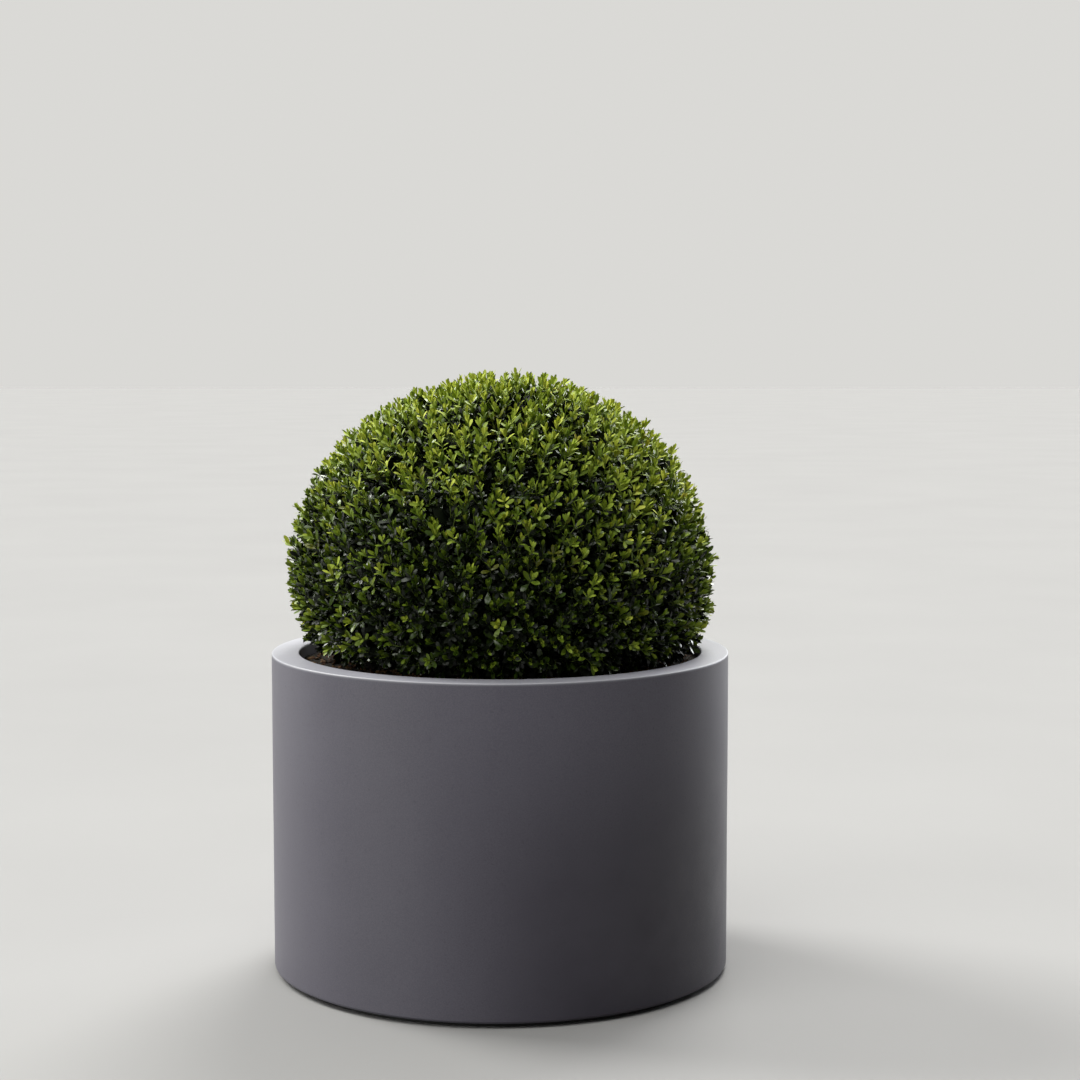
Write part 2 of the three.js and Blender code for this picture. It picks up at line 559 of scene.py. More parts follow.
def draw_shades(
    draw: np.random.Generator, shares: dict[Shade, float], shape: tuple[int, ...]
) -> np.ndarray:
    """Draws shades at random, each as often as its share.

    Args:
        draw: The source of random numbers.
        shares: Each shade's share.
        shape: The shape of the array that is wanted.

    Returns:
        The shades, as their places in SHADES.
    """
    return draw.choice([PLACE_OF[shade] for shade in shares], shape, p=list(shares.values()))


def mesh_piece(name: str, bm: bmesh.types.BMesh, smooth: bool = True) -> bpy.types.Object:
    """Turns a bmesh into a piece in the scene, and frees it.

    Args:
        name: The piece's name.
        bm: The finished shape, in the object's frame.
        smooth: Whether its faces are shaded smooth.

    Returns:
        The piece, at the origin.
    """
    mesh = bpy.data.meshes.new(name)
    bm.to_mesh(mesh)
    bm.free()
    return put_in_scene(name, mesh, smooth)


def array_piece(
    name: str, points: np.ndarray, corners: Sequence[np.ndarray], smooth: bool = True
) -> bpy.types.Object:
    """Joins many copies of one small shape into a piece.

    Args:
        name: The piece's name.
        points: The copies' vertices, as (copies, vertices, 3).
        corners: Each face of one copy, as its vertex numbers.
        smooth: Whether its faces are shaded smooth.

    Returns:
        The piece, at the origin.
    """
    copies, each = points.shape[:2]
    sizes = np.array([len(face) for face in corners])
    loops = np.concatenate(corners)
    shift = np.arange(copies)[:, None]
    starts = np.concatenate([[0], np.cumsum(sizes)[:-1]])
    mesh = bpy.data.meshes.new(name)
    mesh.vertices.add(copies * each)
    mesh.vertices.foreach_set("co", points.astype(np.float32).ravel())
    mesh.loops.add(copies * len(loops))
    mesh.loops.foreach_set("vertex_index", (loops + each * shift).ravel().astype(np.int32))
    mesh.polygons.add(copies * len(sizes))
    mesh.polygons.foreach_set("loop_start", (starts + len(loops) * shift).ravel().astype(np.int32))
    mesh.update(calc_edges=True)
    return put_in_scene(name, mesh, smooth)


def put_in_scene(name: str, mesh: bpy.types.Mesh, smooth: bool) -> bpy.types.Object:
    """Makes an object of a mesh and links it to the scene.

    Args:
        name: The piece's name.
        mesh: Its mesh.
        smooth: Whether its faces are shaded smooth.

    Returns:
        The piece, at the origin.
    """
    mesh.polygons.foreach_set("use_smooth", [smooth] * len(mesh.polygons))
    piece = bpy.data.objects.new(name, mesh)
    bpy.context.scene.collection.objects.link(piece)
    return piece


def triangles(piece: bpy.types.Object) -> int:
    """Counts a mesh piece's triangles."""
    return sum(len(face.vertices) - 2 for face in piece.data.polygons)


@dataclass
class SubAssembly:
    """A group of pieces that ride on the object's one body."""

    body: str = "root"

    def enrol(
        self,
        piece: bpy.types.Object,
        slot: Slot,
        material: bpy.types.Material,
        *nodes: str,
    ) -> None:
        """Dresses a piece, and says what it rides on, takes its finish from and replaces.

        Args:
            piece: The piece, in place.
            slot: The record's slot for its finish.
            material: Its material.
            nodes: The frame's nodes that it stands for.
        """
        piece.data.materials.clear()
        piece.data.materials.append(material)
        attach(piece, self.body)
        if nodes:
            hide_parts(*nodes)
        LOG.info("%s: %d triangles, slot %s", piece.name, triangles(piece), slot.value)


def rings_at(bm: bmesh.types.BMesh, radius: float, height: float) -> list[bmesh.types.BMEdge]:
    """Finds the edges of a round shape that lie on one ring.

    Args:
        bm: The shape, round the upright axis.
        radius: The ring's radius.
        height: Its height.

    Returns:
        The ring's edges.
    """
    near = 0.02 * MM

    def on_ring(vert: bmesh.types.BMVert) -> bool:
        """Whether a vertex lies on the ring."""
        off_axis = math.hypot(vert.co.x, vert.co.y) - radius
        return abs(off_axis) < near and abs(vert.co.z - height) < near

    return [edge for edge in bm.edges if all(on_ring(vert) for vert in edge.verts)]


def round_over(
    bm: bmesh.types.BMesh, radius: float, height: float, offset: float, segments: int
) -> None:
    """Rounds the edge of a round shape at one ring.

    Args:
        bm: The shape, round the upright axis.
        radius: The ring's radius.
        height: Its height.
        offset: How far the rounding reaches.
        segments: How many steps it has.
    """
    bmesh.ops.bevel(
        bm,
        geom=rings_at(bm, radius, height),
        offset=offset,
        offset_type="OFFSET",
        affect="EDGES",
        segments=segments,
        profile=0.5,
        material=-1,
    )


def only_face(bm: bmesh.types.BMesh) -> bmesh.types.BMFace:
    """The face of a shape that has just one."""
    return next(iter(bm.faces))


def raise_face(
    bm: bmesh.types.BMesh, face: bmesh.types.BMFace, rise: float
) -> bmesh.types.BMFace:
    """Extrudes a face straight up or down.

    Args:
        bm: The shape.
        face: The face.
        rise: How far up it goes.

    Returns:
        The moved face.
    """
    made = bmesh.ops.extrude_face_region(bm, geom=[face, *face.edges, *face.verts])["geom"]
    verts = [part for part in made if isinstance(part, bmesh.types.BMVert)]
    bmesh.ops.translate(bm, vec=(0, 0, rise), verts=verts)
    return next(part for part in made if isinstance(part, bmesh.types.BMFace))


def settle_shading(piece: bpy.types.Object) -> None:
    """Keeps broad faces flat in the shading beside narrow rounded edges.

    Args:
        piece: The piece that they are on.
    """
    weights = piece.modifiers.new("weighted_normals", "WEIGHTED_NORMAL")
    weights.mode = "FACE_AREA"
    weights.weight = 90


@dataclass
class Planter(SubAssembly):
    """The straight round drum with its thick flat rim, and the recessed foot under it."""

    wall: float = 27 * MM
    floor: float = 27 * MM
    rim_round: float = 1.5 * MM
    base_round: float = 3 * MM
    inner_round: float = 8 * MM
    foot_round: float = 0.8 * MM
    sides: int = 240
    foot_sides: int = 160
    courses: int = 12
    waviness: float = 0.22 * MM
    wave_length: float = 85 * MM

    def build(self) -> None:
        """Builds and dresses the drum and the foot."""
        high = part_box("planter")[1]
        finish = CastCement(rim_top=high.z, rim_radius=high.x, wall=self.wall)
        drum = self.drum()
        settle_shading(drum)
        self.enrol(drum, Slot.PLANTER, finish.material(), "planter")
        self.enrol(self.foot(), Slot.FOOT, MouldedRubber().material(), "planter_foot")

    def drum(self) -> bpy.types.Object:
        """Models the drum from a disc: raised, inset by the wall, hollowed and rounded.

        Returns:
            The piece.
        """
        low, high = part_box("planter")
        radius = high.x
        bm = bmesh.new()
        bmesh.ops.create_circle(bm, cap_ends=True, radius=radius, segments=self.sides)
        bmesh.ops.translate(bm, vec=(0, 0, low.z), verts=bm.verts)
        top = raise_face(bm, only_face(bm), high.z - low.z)
        bmesh.ops.inset_region(bm, faces=[top], thickness=self.wall, use_even_offset=True)
        inner = max(math.hypot(v.co.x, v.co.y) for v in top.verts)
        raise_face(bm, top, low.z + self.floor - high.z)
        round_over(bm, radius, high.z, self.rim_round, 4)
        round_over(bm, inner, high.z, self.rim_round, 4)
        round_over(bm, radius, low.z, self.base_round, 5)
        round_over(bm, inner, low.z + self.floor, self.inner_round, 4)
        for course in range(1, self.courses):
            height = low.z + (high.z - low.z) * course / self.courses
            every = list(bm.verts) + list(bm.edges) + list(bm.faces)
            bmesh.ops.bisect_plane(bm, geom=every, plane_co=(0, 0, height), plane_no=(0, 0, 1))
        for vert in bm.verts:
            across = math.hypot(vert.co.x, vert.co.y)
            if across > inner + self.rim_round:
                swell = self.waviness * noise.noise(vert.co / self.wave_length)
                vert.co.xy *= 1 + min(swell, 0) / across
        bmesh.ops.recalc_face_normals(bm, faces=bm.faces)
        return mesh_piece("planter_drum", bm)

    def foot(self) -> bpy.types.Object:
        """Models the recessed foot from a disc.

        Returns:
            The piece.
        """
        low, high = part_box("planter_foot")
        bm = bmesh.new()
        bmesh.ops.create_circle(bm, cap_ends=True, radius=high.x, segments=self.foot_sides)
        raise_face(bm, only_face(bm), high.z - low.z)
        round_over(bm, high.x, low.z, self.foot_round, 3)
        bmesh.ops.recalc_face_normals(bm, faces=bm.faces)
        piece = mesh_piece("recessed_foot", bm)
        settle_shading(piece)
        return piece


class Bits(Enum):
    """The kinds of loose bits in the compost: how many, their longest and shortest size, tones."""

    CRUMBS = (2600, 2.2 * MM, 0.9 * MM, "1c130d", "35241a")
    BARK_CHIPS = (620, 8.0 * MM, 3.0 * MM, "2c1a11", "6b3f28")
    FIBRES = (260, 11.0 * MM, 5.0 * MM, "4c3522", "8a6744")


@dataclass
class Soil(SubAssembly):
    """The compost in the planter: a crumbly bed and the loose bits on it.

    A bit's width, thickness and rise over the bed are shares of its length or thickness, and
    bit_uneven is a random factor on each of its corners.
    """

    seat_radius: float = 44 * MM
    mound: float = 3 * MM
    coarse: float = 1.6 * MM
    coarse_grain: float = 22 * MM
    crumb: float = 1.1 * MM
    crumb_grain: float = 3.4 * MM
    rings: int = 70
    sides: int = 260
    edge_gap: float = 1.5 * MM
    bits_from: float = 120 * MM
    bit_grain: float = 1.5 * MM
    bit_roughness: float = 0.85
    bit_width: tuple[float, float] = (0.35, 0.7)
    bit_thickness: tuple[float, float] = (0.18, 0.4)
    bit_rise: float = 0.25
    bit_uneven: tuple[float, float] = (0.75, 1.25)
    bit_tilt: float = 0.35

    def __post_init__(self) -> None:
        """Reads the bed's place from the frame."""
        self.low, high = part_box("soil")
        self.radius = high.x
        self.edge_height = high.z - self.mound

    def build(self) -> None:
        """Builds and dresses the bed and each kind of bits."""
        bed = Compost("compost_bed", "120c08", "2f2117")
        self.enrol(self.bed(), Slot.SOIL, bed.material(), "soil")
        for place, kind in enumerate(Bits):
            name = f"soil_{kind.name.lower()}"
            *_, dark, light = kind.value
            finish = Compost(name, dark, light, self.bit_grain, self.bit_roughness)
            self.enrol(self.bits(name, kind, place), Slot.SOIL, finish.material())

    def height(self, x: float, y: float) -> float:
        """The height of the soil's top at a place.

        Args:
            x: How far right it is.
            y: How far back it is.

        Returns:
            The height over the floor.
        """
        across = math.hypot(x, y)
        away = float(smooth_step(np.array(across), self.seat_radius, self.radius))
        coarse = noise.noise(Vector((x, y, 0)) / self.coarse_grain)
        crumb = noise.fractal(Vector((x, y, 0.1)) / self.crumb_grain, 0.8, 2.1, 3)
        loose = self.coarse * coarse + self.crumb * crumb
        return self.edge_height + self.mound * (1 - away) + loose * math.sqrt(away)

    def bed(self) -> bpy.types.Object:
        """Models the bed: half an outline spun round, with its top crumbled.

        Returns:
            The piece.
        """
        bm = bmesh.new()
        outline = [(0, self.low.z), (self.radius, self.low.z), (self.radius, self.edge_height)]
        for ring in range(1, self.rings + 1):
            outline.append((self.radius * (1 - ring / self.rings), self.edge_height))
        verts = [bm.verts.new((x, 0, z)) for x, z in outline]
        edges = [bm.edges.new(pair) for pair in zip(verts, verts[1:])]
        bmesh.ops.spin(
            bm,
            geom=verts + edges,
            cent=(0, 0, 0),
            axis=(0, 0, 1),
            angle=math.tau,
            steps=self.sides,
            use_merge=True,
        )
        bmesh.ops.remove_doubles(bm, verts=bm.verts, dist=0.01 * MM)
        for vert in bm.verts:
            if vert.co.z > self.edge_height - self.edge_gap:
                vert.co.z = self.height(vert.co.x, vert.co.y)
        bmesh.ops.recalc_face_normals(bm, faces=bm.faces)
        return mesh_piece("compost_bed", bm)

    def bits(self, name: str, kind: Bits, place: int) -> bpy.types.Object:
        """Scatters one kind of bits over the part of the bed that shows.

        Args:
            name: The piece's name.
            kind: What is scattered.
            place: The kind's number, which seeds its scatter.

        Returns:
            The piece.
        """
        count, longest, shortest = kind.value[:3]
        draw = np.random.default_rng(SEED + 100 + place)
        bm = bmesh.new()
        bmesh.ops.create_icosphere(bm, subdivisions=1, radius=0.5)
        shape = np.array([vert.co[:] for vert in bm.verts])
        corners = [np.array([vert.index for vert in face.verts]) for face in bm.faces]
        bm.free()
        size = draw.uniform(shortest, longest, (count, 1))
        sides = np.hstack([size, size * draw.uniform(*self.bit_width, (count, 1))])
        sides = np.hstack([sides, size * draw.uniform(*self.bit_thickness, (count, 1))])
        outer = self.radius - self.edge_gap - size[:, 0] / 2
        across = np.sqrt(draw.uniform(self.bits_from**2, outer**2))
        angle = draw.uniform(0, math.tau, count)
        x, y = across * np.cos(angle), across * np.sin(angle)
        z = np.array([self.height(*pair) for pair in zip(x, y)]) + sides[:, 2] * self.bit_rise
        rough = shape[None] * draw.uniform(*self.bit_uneven, (count, len(shape), 1))
        copies = turn(rough * sides[:, None], *scatter_axes(draw, count, self.bit_tilt))
        copies += np.stack([x, y, z], 1)[:, None]
        return array_piece(name, copies, corners, smooth=False)


def scatter_axes(
    draw: np.random.Generator, count: int, tilt: float
) -> tuple[np.ndarray, np.ndarray, np.ndarray]:
    """Gives each of many flat bits a random heading and a slight tilt.

    Args:
        draw: The source of random numbers.
        count: How many bits.
        tilt: How far they may lean, in radians or so.

    Returns:
        The three axes of each bit.
    """
    normal = unit(UP + draw.normal(0, tilt, (count, 3)))
    angle = draw.uniform(0, math.tau, count)
    ahead = np.stack([np.cos(angle), np.sin(angle), np.zeros(count)], 1)
    side = unit(np.cross(normal, ahead))
    return side, np.cross(side, normal) * -1, normal


def turn(
    points: np.ndarray, side: np.ndarray, along: np.ndarray, normal: np.ndarray
) -> np.ndarray:
    """Turns each copy's vertices into its own axes.

    Args:
        points: Vertices as (copies, vertices, 3).
        side: Each copy's first axis.
        along: Its second.
        normal: Its third.

    Returns:
        The turned vertices.
    """
    axes = np.stack([side, along, normal], 1)
    return np.einsum("cvi,cij->cvj", points, axes)


@dataclass
class Outline:
    """The clipped ball's outline, read from its solid in the frame."""

    node: str = "clipped_ball"
    heart_over_foot: float = 71.5 * MM
    outside: float = 0.5

    def __post_init__(self) -> None:
        """Makes the solid's surface ready for rays."""
        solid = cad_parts[self.node].data
        corners = [vert.co.copy() for vert in solid.vertices]
        self.surface = BVHTree.FromPolygons(corners, [face.vertices[:] for face in solid.polygons])
        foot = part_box(self.node)[0].z
        self.heart = Vector((0, 0, foot + self.heart_over_foot))

    def reach(self, way: Sequence[float]) -> tuple[Vector, Vector]:
        """Finds where the outline lies in a direction from the ball's heart.

        Args:
            way: The direction, as a unit vector.

        Returns:
            The point on the outline and the outward normal there.
        """
        way = Vector(way)
        spot, normal, _, _ = self.surface.ray_cast(self.heart + way * self.outside, -way)
        if normal.dot(way) < 0:
            normal = -normal
        return spot, normal


@dataclass(frozen=True)
class Order:
    """One order of branching: how many limbs it has, how thick they are, and where they end.

    Wood ends at a share of the way out, which is its reach, and shoots at a depth under the
    outline, give or take depth_spread. Scatter is how unevenly the limbs stand, steps and
    roundness are how finely each is modelled, and lowest is the elevation of the lowest ones, in
    degrees. Shoots carry leaf pairs, leaf_scale times the usual size, and hidden ones have only
    leaves of the darkest shade.
    """

    name: str
    count: int
    foot_radius: float
    tip_radius: float
    scatter: float
    steps: int
    roundness: int
    reach: float = 1.0
    depth: float = 0.0
    depth_spread: float = 0.0
    lowest: float = -22.0
    leaf_pairs: int = 9
    leaf_scale: float = 1.0
    hidden: bool = False

    @property
    def low(self) -> float:
        """How steeply its lowest limbs point down, as the height of a unit vector."""
        return math.sin(math.radians(self.lowest))


WOOD_ORDERS = (
    Order("boughs", 11, 6.5 * MM, 4.2 * MM, 0.10, 22, 4, reach=0.40),
    Order("branches", 62, 3.6 * MM, 2.1 * MM, 0.08, 10, 2, reach=0.62),
    Order("twigs", 350, 1.7 * MM, 0.95 * MM, 0.05, 7, 1, reach=0.78),
)
SHOOT_ORDERS = (
    Order("leaders", 1640, 0.7 * MM, 0.4 * MM, 0.017, 8, 0, depth=6.3 * MM, depth_spread=1.8 * MM),
    Order("fillers", 1500, 0.7 * MM, 0.4 * MM, 0.035, 7, 0, depth=16 * MM, depth_spread=4 * MM),
    # Hidden inner shoots carry only the darkest, near-black leaves: painted shade inside the
    # crown.
    Order(
        "inner", 1500, 0.7 * MM, 0.5 * MM, 0.02, 6, 0, depth=34 * MM, depth_spread=5 * MM,
        lowest=-34, leaf_pairs=5, leaf_scale=2.1, hidden=True,
    ),
)


@dataclass
class Limbs:
    """All limbs of one order, each a cubic curve from its parent to its own end.

    The curves are (limbs, 4, 3): start, two handles and end. A limb's way is its direction from
    the ball's heart, and proud is how much further out than usual it stands, in shares of the
    order's spread.
    """

    order: Order
    curves: np.ndarray
    ways: np.ndarray
    proud: np.ndarray

    def at(self, part: np.ndarray, which: Optional[np.ndarray] = None) -> np.ndarray:
        """Gives points on the limbs.

        Args:
            part: How far along, from 0 to 1, with the limbs as its first axis.
            which: The limbs' numbers, or all of them.

        Returns:
            The points.
        """
        curves = self.curves if which is None else self.curves[which]
        t = part[..., None]
        a, b, c, d = (self._lift(curves[:, i], t) for i in range(4))
        return a * (1 - t) ** 3 + b * 3 * t * (1 - t) ** 2 + c * 3 * t**2 * (1 - t) + d * t**3

    def heading(self, part: np.ndarray, which: Optional[np.ndarray] = None) -> np.ndarray:
        """Gives the unit tangents at the same places as at().

        Args:
            part: As for at().
            which: As for at().

        Returns:
            The tangents.
        """
        curves = self.curves if which is None else self.curves[which]
        t = part[..., None]
        a, b, c = (self._lift(curves[:, i + 1] - curves[:, i], t) for i in range(3))
        return unit(a * (1 - t) ** 2 + b * 2 * t * (1 - t) + c * t**2)

    @staticmethod
    def _lift(points: np.ndarray, like: np.ndarray) -> np.ndarray:
        """Adds axes to points until they line up with an array of places."""
        return points.reshape(points.shape[:1] + (1,) * (like.ndim - 2) + points.shape[1:])

    def lengths(self) -> np.ndarray:
        """Measures the limbs."""
        part = np.broadcast_to(np.linspace(0, 1, 9), (len(self.curves), 9))
        return np.linalg.norm(np.diff(self.at(part), axis=1), axis=2).sum(1)


@dataclass
class Wood(SubAssembly):
    """The stem, and the boughs, branches, twigs and shoots that grow on from it.

    Low shoots end deeper under the outline than the others. All round, up to tuck is added where
    their direction is lower than tuck_from. At the lower left, up to left_tuck is added too, and
    left_way and left_drop are how far left and down the direction points where that starts and
    where it is full. The boughs fork from the stem between first_fork and last_fork, and other
    limbs from their parents beyond fork_from, in shares of the length.

    Thicker wood ends outward, onward and upward in those shares: square to the outline, away
    from the heart and straight up. Shoots end outward by shoot_outward, and upward by shoot_lift,
    whose second value is added over lift_zone. Bough_rise and follow are how much a limb leaves
    straight up or along its parent, and the handles are how long it keeps its direction at both
    ends, in shares of its span.
    """

    outline: Outline = field(default_factory=Outline)
    tuck_from: float = -0.2
    tuck: float = 3 * MM
    left_tuck: float = 7 * MM
    left_way: tuple[float, float] = (0.3, 0.9)
    left_drop: tuple[float, float] = (-0.02, 0.26)
    least_depth: float = 2 * MM
    first_fork: float = 0.45
    last_fork: float = 0.98
    fork_from: float = 0.62
    bough_rise: float = 0.6
    follow: float = 0.9
    first_handle: float = 0.36
    last_handle: float = 0.4
    outward: float = 0.8
    onward: float = 0.3
    upward: float = 0.45
    reach_range: tuple[float, float] = (0.92, 1.06)
    shoot_outward: float = 0.62
    shoot_lift: tuple[float, float] = (0.25, 0.62)
    lift_zone: tuple[float, float] = (-0.3, 0.25)
    shoot_scatter: float = 0.2
    stem_sides: int = 56
    stem_rings: int = 44
    stem_foot: float = 16 * MM
    stem_top: float = 11 * MM
    lean: tuple[float, float] = (9 * MM, -5 * MM)
    flare: float = 15 * MM
    flare_height: float = 15 * MM
    buttresses: int = 5
    buttress_depth: float = 0.34
    ridge: float = 1.0 * MM
    ridge_grain: float = 4.5 * MM
    ridge_stretch: float = 5.0
    ridge_level: float = 0.6
    ridge_limit: float = 0.3 * MM
    bough_ridges: float = 0.7

    def __post_init__(self) -> None:
        """Reads the stem's place from the frame."""
        self.stem_low, self.stem_high = (corner.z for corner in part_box("main_stem"))
        self.draw = np.random.default_rng(SEED)

    def build(self) -> list[Limbs]:
        """Builds and dresses all the wood.

        Returns:
            The shoots, for the leaves to grow on.
        """
        thick = Bark("stem_bark").material()
        thin = Bark("twig_bark", grain=1.6 * MM).material()
        green = Bark("shoot_skin", "4a5a22", "7d8f3a", "6a7a33", 1.2 * MM).material()
        self.enrol(self.stem(), Slot.BARK, thick, "main_stem")
        limbs = None
        for order, finish in zip(WOOD_ORDERS, (thick, thin, thin)):
            limbs = self.grow(order, limbs)
            piece = self.model(limbs)
            if finish is thick:
                self.crease(piece)
            self.enrol(piece, Slot.BARK, finish, "clipped_ball")
        shoots = [self.grow(order, limbs) for order in SHOOT_ORDERS]
        for kind in shoots:
            self.enrol(self.model(kind), Slot.BARK, green, "clipped_ball")
        return shoots

    def axis(self, part: np.ndarray) -> np.ndarray:
        """Points on the leaning stem's middle line, for parts of its height."""
        height = self.stem_low + (self.stem_high - self.stem_low) * part
        return np.stack([self.lean[0] * part**2, self.lean[1] * part**2, height], -1)

    def stem(self) -> bpy.types.Object:
        """Models the stem: a ring drawn up in steps, flared at its foot, with ridged bark.

        Returns:
            The piece.
        """
        bm = bmesh.new()
        height = self.stem_high - self.stem_low
        bmesh.ops.create_circle(bm, cap_ends=True, radius=1, segments=self.stem_sides)
        bmesh.ops.translate(bm, vec=(0, 0, self.stem_low), verts=bm.verts)
        top = only_face(bm)
        for _ in range(self.stem_rings):
            top = raise_face(bm, top, height / self.stem_rings)
        for vert in bm.verts:
            self._swell(vert, height)
        bmesh.ops.recalc_face_normals(bm, faces=bm.faces)
        return mesh_piece("main_stem_bark", bm)

    def _swell(self, vert: bmesh.types.BMVert, height: float) -> None:
        """Moves one vertex of the stem to its taper, lean, flare and ridges.

        Args:
            vert: The vertex, on a plain tube.
            height: The stem's height.
        """
        up = vert.co.z - self.stem_low
        part = up / height
        angle = math.atan2(vert.co.y, vert.co.x)
        flare = self.flare * math.exp(-up / self.flare_height)
        buttress = 1 + self.buttress_depth * math.cos(self.buttresses * angle)
        plain = self.stem_foot + (self.stem_top - self.stem_foot) * part
        spot = Vector((math.cos(angle), math.sin(angle), 0)) * (plain / self.ridge_grain)
        spot.z = up / (self.ridge_stretch * self.ridge_grain)
        ridges = self.ridge * (noise.fractal(spot, 0.9, 2.0, 3) - self.ridge_level)
        radius = plain + flare * buttress + min(ridges, self.ridge_limit)
        across = math.hypot(vert.co.x, vert.co.y)
        lean = part * part
        vert.co.x = vert.co.x / across * radius + self.lean[0] * lean
        vert.co.y = vert.co.y / across * radius + self.lean[1] * lean

    def spread(self, order: Order) -> np.ndarray:
        """Spreads directions evenly from the ball's heart, and scatters them a little.

        Args:
            order: The order of branching that they are for.

        Returns:
            Unit vectors.
        """
        number = np.arange(order.count) + 0.5
        rise = 1 - (1 - order.low) * number / order.count
        angle = number * math.pi * (3 - math.sqrt(5)) + order.count
        across = np.sqrt(1 - rise**2)
        ways = np.stack([across * np.cos(angle), across * np.sin(angle), rise], 1)
        ways = unit(ways + self.draw.normal(0, order.scatter, ways.shape))
        low = ways[:, 2] < order.low
        ways[low, 2] = order.low
        return unit(ways)

    def grow(self, order: Order, parents: Optional[Limbs]) -> Limbs:
        """Grows one order of limbs from the one before, or the first from the stem.

        Args:
            order: The order to grow.
            parents: The limbs that they fork from, or none for the stem.

        Returns:
            The limbs.
        """
        ways = self.spread(order)
        found = [self.outline.reach(way) for way in ways]
        surface = np.array([spot[:] for spot, _ in found])
        normal = np.array([out[:] for _, out in found])
        proud = self.draw.normal(0, 1, (order.count, 1))
        if order.depth:
            out, ends = self._shoot_ends(order, ways, surface, normal, proud)
        else:
            out, ends = self._wood_ends(order, ways, surface, normal)
        starts, leave = self._forks(order, parents, ways, ends)
        span = np.linalg.norm(ends - starts, axis=1)[:, None]
        first = starts + leave * span * self.first_handle
        last = ends - out * span * self.last_handle
        return Limbs(order, np.stack([starts, first, last, ends], 1), ways, proud[:, 0])

    def _shoot_ends(
        self,
        order: Order,
        ways: np.ndarray,
        surface: np.ndarray,
        normal: np.ndarray,
        proud: np.ndarray,
    ) -> tuple[np.ndarray, np.ndarray]:
        """Ends shoots at their depth under the outline, turned up to the light.

        Args:
            order: The shoots' order.
            ways: Their directions from the ball's heart.
            surface: Where those meet the outline.
            normal: The outline's outward normals there.
            proud: How much further out than usual each shoot stands.

        Returns:
            The directions in which they end, and their ends.
        """
        lift = ramp(self.shoot_lift, smooth_step(ways[:, 2:], *self.lift_zone))
        out = unit(normal * self.shoot_outward + UP * lift)
        out = unit(out + self.draw.normal(0, self.shoot_scatter, ways.shape))
        depth = (order.depth - order.depth_spread * proud).clip(self.least_depth)
        down = -ways[:, 2:]
        low = smooth_step(down, -self.tuck_from, -order.low)
        left = smooth_step(-ways[:, :1], *self.left_way) * smooth_step(down, *self.left_drop)
        return out, surface - ways * (depth + self.tuck * low + self.left_tuck * left)

    def _wood_ends(
        self, order: Order, ways: np.ndarray, surface: np.ndarray, normal: np.ndarray
    ) -> tuple[np.ndarray, np.ndarray]:
        """Ends thicker limbs at their share of the way from the ball's heart to its outline.

        Args:
            order: The limbs' order.
            ways: Their directions from the ball's heart.
            surface: Where those meet the outline.
            normal: The outline's outward normals there.

        Returns:
            The directions in which they end, and their ends.
        """
        out = unit(normal * self.outward + ways * self.onward + UP * self.upward)
        heart = np.array(self.outline.heart[:])
        share = order.reach * self.draw.uniform(*self.reach_range, (order.count, 1))
        return out, heart + (surface - heart) * share

    def _forks(
        self, order: Order, parents: Optional[Limbs], ways: np.ndarray, ends: np.ndarray
    ) -> tuple[np.ndarray, np.ndarray]:
        """Finds where limbs fork from their nearest parents, or the first ones from the stem.

        Args:
            order: The limbs' order.
            parents: The limbs that they fork from, or none for the stem.
            ways: Their directions from the ball's heart.
            ends: Their ends.

        Returns:
            Their starts, and the directions in which they leave.
        """
        if parents is None:
            starts = self.axis(self.draw.uniform(self.first_fork, self.last_fork, order.count))
            across = ends - starts
            span = np.linalg.norm(across, axis=1)[:, None]
            return starts, unit(across + UP * span * self.bough_rise)
        closest = np.argmax(ways @ parents.ways.T, axis=1)
        part = self.draw.uniform(self.fork_from, 1.0, order.count)
        starts = parents.at(part, closest)
        return starts, unit(parents.heading(part, closest) * self.follow + unit(ends - starts))

    def model(self, limbs: Limbs) -> bpy.types.Object:
        """Models limbs as tapering tubes, and turns them into a mesh.

        Args:
            limbs: The limbs of one order.

        Returns:
            The piece.
        """
        order = limbs.order
        curve = bpy.data.curves.new(order.name, "CURVE")
        curve.dimensions = "3D"
        curve.bevel_depth = 1.0
        curve.bevel_resolution = order.roundness
        curve.use_fill_caps = True
        part = np.broadcast_to(np.linspace(0, 1, order.steps), (order.count, order.steps))
        points = limbs.at(part)
        taper = np.linspace(order.foot_radius, order.tip_radius, order.steps)
        for row in points:
            spline = curve.splines.new("POLY")
            spline.points.add(order.steps - 1)
            spline.points.foreach_set("co", np.hstack([row, np.ones((order.steps, 1))]).ravel())
            spline.points.foreach_set("radius", taper)
        drawn = bpy.data.objects.new(order.name, curve)
        bpy.context.scene.collection.objects.link(drawn)
        sight = bpy.context.evaluated_depsgraph_get()
        mesh = bpy.data.meshes.new_from_object(drawn.evaluated_get(sight))
        bpy.data.objects.remove(drawn)
        bpy.data.curves.remove(curve)
        mesh.name = f"wood_{order.name}"
        return put_in_scene(f"wood_{order.name}", mesh, True)

    def crease(self, piece: bpy.types.Object) -> None:
        """Gives the boughs the ridges of their bark.

        Args:
            piece: The boughs.
        """
        for vert in piece.data.vertices:
            spot = Vector(vert.co) / self.ridge_grain
            vert.co -= vert.normal * self.ridge * self.bough_ridges * abs(noise.noise(spot))


